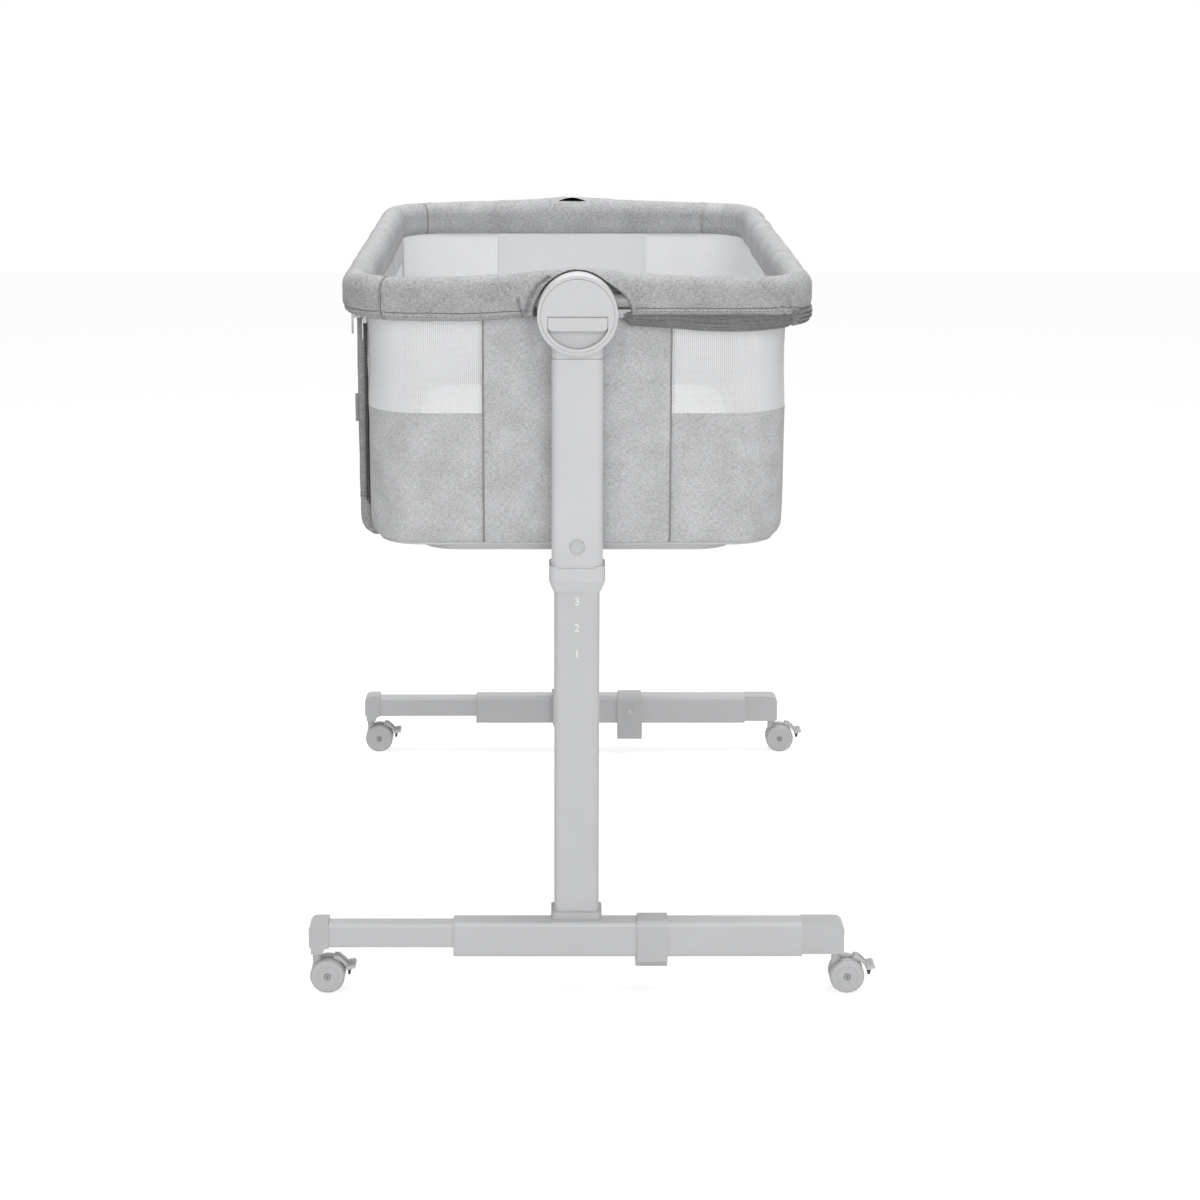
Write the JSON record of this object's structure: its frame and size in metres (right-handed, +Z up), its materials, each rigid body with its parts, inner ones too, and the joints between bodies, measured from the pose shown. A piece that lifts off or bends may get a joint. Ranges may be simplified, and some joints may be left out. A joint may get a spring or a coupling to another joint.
{
  "type": "bedside sleeper crib",
  "caption": "padded fabric crib on two telescopic posts with sliding castor feet; one long side unzips and folds down, and mesh windows run round the upper walls",
  "frame": {"origin": "centre of the outline on the floor: halfway along the crib and halfway across the feet and castor pedals, at floor height", "axes": "X along the feet, across the crib, with the folding side at -X; Y along the crib, front end at -Y; Z up"},
  "size_m": [0.653, 0.92, 0.8353],
  "materials": {
    "tube_paint": "satin",
    "sleeve_paint": "satin",
    "grey_plastic": "satin",
    "castor_plastic": "satin",
    "clear_plastic": "gloss",
    "bright_steel": "satin",
    "frame_steel": "satin",
    "rail_fabric": "matte",
    "liner_fabric": "matte",
    "mesh": "matte",
    "board": "matte",
    "tray_plastic": "satin",
    "mattress_cover": "matte"
  },
  "bodies": {
    "front_base": {"front_outer_tube": "tube_paint", "front_end_cap": "grey_plastic", "front_glides": "grey_plastic", "front_saddle": "grey_plastic", "front_post_bracket": "grey_plastic", "front_lower_post": "tube_paint", "front_screws": "bright_steel"},
    "rear_base": {"rear_outer_tube": "tube_paint", "rear_end_cap": "grey_plastic", "rear_glides": "grey_plastic", "rear_saddle": "grey_plastic", "rear_post_bracket": "grey_plastic", "rear_lower_post": "tube_paint", "rear_screws": "bright_steel"},
    "front_foot_slide": {"front_inner_tube": "tube_paint", "front_slide_cap": "grey_plastic", "front_slide_shoe": "grey_plastic"},
    "rear_foot_slide": {"rear_inner_tube": "tube_paint", "rear_slide_cap": "grey_plastic", "rear_slide_shoe": "grey_plastic"},
    "castor_body_front_left": {"castor_body_front_left": "castor_plastic"},
    "castor_wheels_front_left": {"castor_wheels_front_left": "castor_plastic"},
    "castor_brake_front_left": {"castor_brake_front_left": "castor_plastic"},
    "castor_body_front_right": {"castor_body_front_right": "castor_plastic"},
    "castor_wheels_front_right": {"castor_wheels_front_right": "castor_plastic"},
    "castor_brake_front_right": {"castor_brake_front_right": "castor_plastic"},
    "castor_body_rear_left": {"castor_body_rear_left": "castor_plastic"},
    "castor_wheels_rear_left": {"castor_wheels_rear_left": "castor_plastic"},
    "castor_brake_rear_left": {"castor_brake_rear_left": "castor_plastic"},
    "castor_body_rear_right": {"castor_body_rear_right": "castor_plastic"},
    "castor_wheels_rear_right": {"castor_wheels_rear_right": "castor_plastic"},
    "castor_brake_rear_right": {"castor_brake_rear_right": "castor_plastic"},
    "basket": {"front_sleeve": "sleeve_paint", "front_collar": "grey_plastic", "front_sight_lens": "clear_plastic", "front_hub_shell": "grey_plastic", "front_hub_cover": "grey_plastic", "rear_sleeve": "sleeve_paint", "rear_collar": "grey_plastic", "rear_sight_lens": "clear_plastic", "rear_hub_shell": "grey_plastic", "rear_hub_cover": "grey_plastic", "frame_tube": "frame_steel", "rail_padding": "rail_fabric", "basket_liner": "liner_fabric", "mesh_windows": "mesh", "base_board": "board", "base_tray": "tray_plastic", "mattress": "mattress_cover"},
    "front_release_flap": {"front_release_flap": "grey_plastic"},
    "front_pull_rod": {"front_pull_rod": "bright_steel"},
    "front_lock_pin": {"front_lock_pin": "bright_steel"},
    "rear_release_flap": {"rear_release_flap": "grey_plastic"},
    "rear_pull_rod": {"rear_pull_rod": "bright_steel"},
    "rear_lock_pin": {"rear_lock_pin": "bright_steel"},
    "drop_side": {"side_tube": "frame_steel", "side_padding": "rail_fabric", "side_panel": "liner_fabric"},
    "front_zip_slider": {"front_zip_slider": "bright_steel"},
    "rear_zip_slider": {"rear_zip_slider": "bright_steel"}
  },
  "joints": [
    {"name": "height_slide", "type": "slide", "parent": "front_base", "child": "basket", "axis": [0, 0, 1], "range_m": [-0.12, 0]},
    {"name": "rear_height", "type": "slide", "parent": "basket", "child": "rear_base", "axis": [0, 0, 1], "range_m": [0, 0.12]},
    {"name": "front_foot_extension", "type": "slide", "parent": "front_base", "child": "front_foot_slide", "axis": [1, 0, 0], "range_m": [0, 0.138]},
    {"name": "rear_foot_extension", "type": "slide", "parent": "rear_base", "child": "rear_foot_slide", "axis": [1, 0, 0], "range_m": [0, 0.138]},
    {"name": "swivel_front_left", "type": "hinge", "parent": "front_foot_slide", "child": "castor_body_front_left", "pos_m": [-0.3185, -0.443, 0.05], "axis": [0, 0, 1], "continuous": true},
    {"name": "wheel_axle_front_left", "type": "hinge", "parent": "castor_body_front_left", "child": "castor_wheels_front_left", "pos_m": [-0.306, -0.443, 0.02], "axis": [0, 1, 0], "continuous": true},
    {"name": "brake_pedal_front_left", "type": "hinge", "parent": "castor_body_front_left", "child": "castor_brake_front_left", "pos_m": [-0.2955, -0.443, 0.0395], "axis": [0, 1, 0], "range_deg": [0, 11]},
    {"name": "swivel_front_right", "type": "hinge", "parent": "front_base", "child": "castor_body_front_right", "pos_m": [0.2795, -0.443, 0.05], "axis": [0, 0, 1], "continuous": true},
    {"name": "wheel_axle_front_right", "type": "hinge", "parent": "castor_body_front_right", "child": "castor_wheels_front_right", "pos_m": [0.292, -0.443, 0.02], "axis": [0, 1, 0], "continuous": true},
    {"name": "brake_pedal_front_right", "type": "hinge", "parent": "castor_body_front_right", "child": "castor_brake_front_right", "pos_m": [0.3025, -0.443, 0.0395], "axis": [0, 1, 0], "range_deg": [0, 11]},
    {"name": "swivel_rear_left", "type": "hinge", "parent": "rear_foot_slide", "child": "castor_body_rear_left", "pos_m": [-0.3185, 0.443, 0.05], "axis": [0, 0, 1], "continuous": true},
    {"name": "wheel_axle_rear_left", "type": "hinge", "parent": "castor_body_rear_left", "child": "castor_wheels_rear_left", "pos_m": [-0.306, 0.443, 0.02], "axis": [0, 1, 0], "continuous": true},
    {"name": "brake_pedal_rear_left", "type": "hinge", "parent": "castor_body_rear_left", "child": "castor_brake_rear_left", "pos_m": [-0.2955, 0.443, 0.0395], "axis": [0, 1, 0], "range_deg": [0, 11]},
    {"name": "swivel_rear_right", "type": "hinge", "parent": "rear_base", "child": "castor_body_rear_right", "pos_m": [0.2795, 0.443, 0.05], "axis": [0, 0, 1], "continuous": true},
    {"name": "wheel_axle_rear_right", "type": "hinge", "parent": "castor_body_rear_right", "child": "castor_wheels_rear_right", "pos_m": [0.292, 0.443, 0.02], "axis": [0, 1, 0], "continuous": true},
    {"name": "brake_pedal_rear_right", "type": "hinge", "parent": "castor_body_rear_right", "child": "castor_brake_rear_right", "pos_m": [0.3025, 0.443, 0.0395], "axis": [0, 1, 0], "range_deg": [0, 11]},
    {"name": "front_flap_hinge", "type": "hinge", "parent": "basket", "child": "front_release_flap", "pos_m": [-0.0195, -0.4555, 0.7835], "axis": [-1, 0, 0], "range_deg": [0, 25]},
    {"name": "front_rod_slide", "type": "slide", "parent": "basket", "child": "front_pull_rod", "axis": [0, 0, -1], "range_m": [0, 0.0089], "stiffness_N_per_m": 300, "springref_m": -0.01},
    {"name": "front_pin_slide", "type": "slide", "parent": "basket", "child": "front_lock_pin", "axis": [-1, 0, 0], "range_m": [0, 0.004]},
    {"name": "rear_flap_hinge", "type": "hinge", "parent": "basket", "child": "rear_release_flap", "pos_m": [-0.0195, 0.4555, 0.7835], "axis": [1, 0, 0], "range_deg": [0, 25]},
    {"name": "rear_rod_slide", "type": "slide", "parent": "basket", "child": "rear_pull_rod", "axis": [0, 0, -1], "range_m": [0, 0.0089], "stiffness_N_per_m": 300, "springref_m": -0.01},
    {"name": "rear_pin_slide", "type": "slide", "parent": "basket", "child": "rear_lock_pin", "axis": [-1, 0, 0], "range_m": [0, 0.004]},
    {"name": "side_fold", "type": "hinge", "parent": "basket", "child": "drop_side", "pos_m": [-0.2579, 0, 0.553], "axis": [0, -1, 0], "range_deg": [0, 180]},
    {"name": "front_zip", "type": "slide", "parent": "basket", "child": "front_zip_slider", "axis": [0, 0, -1], "range_m": [0, 0.19]},
    {"name": "rear_zip", "type": "slide", "parent": "basket", "child": "rear_zip_slider", "axis": [0, 0, -1], "range_m": [0, 0.19]}
  ],
  "couplings": [
    {"joint": "rear_height", "follows": "height_slide", "ratio": -1},
    {"joint": "front_flap_hinge", "follows": "front_rod_slide", "rad_per_m": 49},
    {"joint": "front_pin_slide", "follows": "front_rod_slide", "ratio": 0.44},
    {"joint": "rear_flap_hinge", "follows": "rear_rod_slide", "rad_per_m": 49},
    {"joint": "rear_pin_slide", "follows": "rear_rod_slide", "ratio": 0.44}
  ]
}
